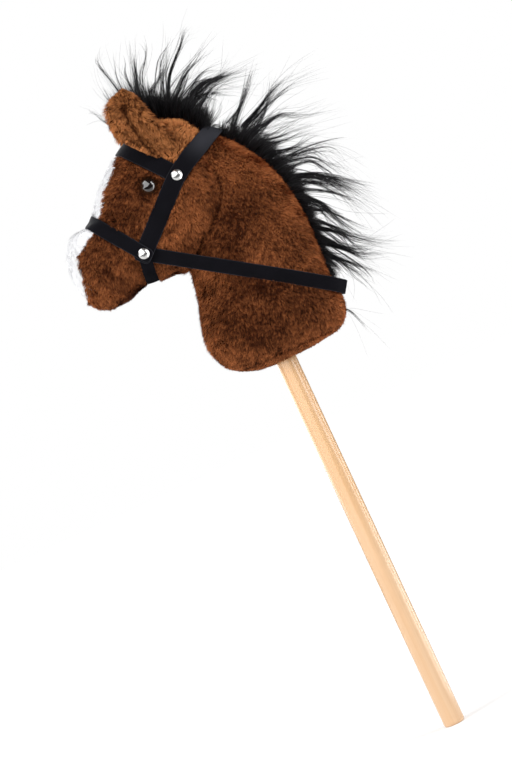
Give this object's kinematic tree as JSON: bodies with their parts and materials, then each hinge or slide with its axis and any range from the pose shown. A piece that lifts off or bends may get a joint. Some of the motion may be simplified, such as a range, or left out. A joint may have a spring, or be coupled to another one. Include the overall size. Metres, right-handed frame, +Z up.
{
  "type": "hobby horse",
  "caption": "Stuffed plush horse's head and neck on a round wooden stick, with a riveted strap bridle, reins that lift, a mane and a forelock.",
  "frame": {"origin": "centre of the flat foot of the stick", "axes": "+Z up along the stick, -X the way the horse looks, -Y the horse's left side"},
  "size_m": [0.3491, 0.142, 0.8386],
  "materials": {
    "stick_wood": "satin",
    "brown_plush": "deep pile",
    "white_plush": "deep pile",
    "black_hair": "long pile",
    "hair_backing": "matte",
    "bridle_strap": "satin",
    "rivet_metal": "polished",
    "eye_gloss": "gloss",
    "washer_plastic": "matte",
    "filling_fibre": "matte",
    "sleeve_cloth": "matte"
  },
  "bodies": {
    "horse": {"blaze_gusset": "white_plush", "browband": "bridle_strap", "chin_gusset": "brown_plush", "chin_strap": "bridle_strap", "crown_gusset": "brown_plush", "ear_back_left": "brown_plush", "ear_back_right": "brown_plush", "ear_lining_left": "brown_plush", "ear_lining_right": "brown_plush", "eye_left": "eye_gloss", "eye_right": "eye_gloss", "eye_washer_left": "washer_plastic", "eye_washer_right": "washer_plastic", "forelock": "black_hair", "forelock_backing": "hair_backing", "head_filling": "filling_fibre", "head_skin_left": "brown_plush", "head_skin_right": "brown_plush", "headpiece_strap": "bridle_strap", "mane": "black_hair", "mane_backing": "hair_backing", "neck_base_panel": "brown_plush", "neck_filling": "filling_fibre", "neck_skin_left": "brown_plush", "neck_skin_right": "brown_plush", "noseband": "bridle_strap", "rivet_back_lower_left": "rivet_metal", "rivet_back_lower_right": "rivet_metal", "rivet_back_upper_left": "rivet_metal", "rivet_back_upper_right": "rivet_metal", "rivet_lower_left": "rivet_metal", "rivet_lower_right": "rivet_metal", "rivet_upper_left": "rivet_metal", "rivet_upper_right": "rivet_metal", "stick": "stick_wood", "stick_sleeve": "sleeve_cloth"},
    "reins": {"reins": "bridle_strap"}
  },
  "joints": [
    {"name": "rein_lift", "type": "hinge", "parent": "horse", "child": "reins", "pos_m": [-0.0947, 0, 0.6315], "axis": [0, -1, 0], "range_deg": [0, 35], "deforming": ["mane"]}
  ]
}
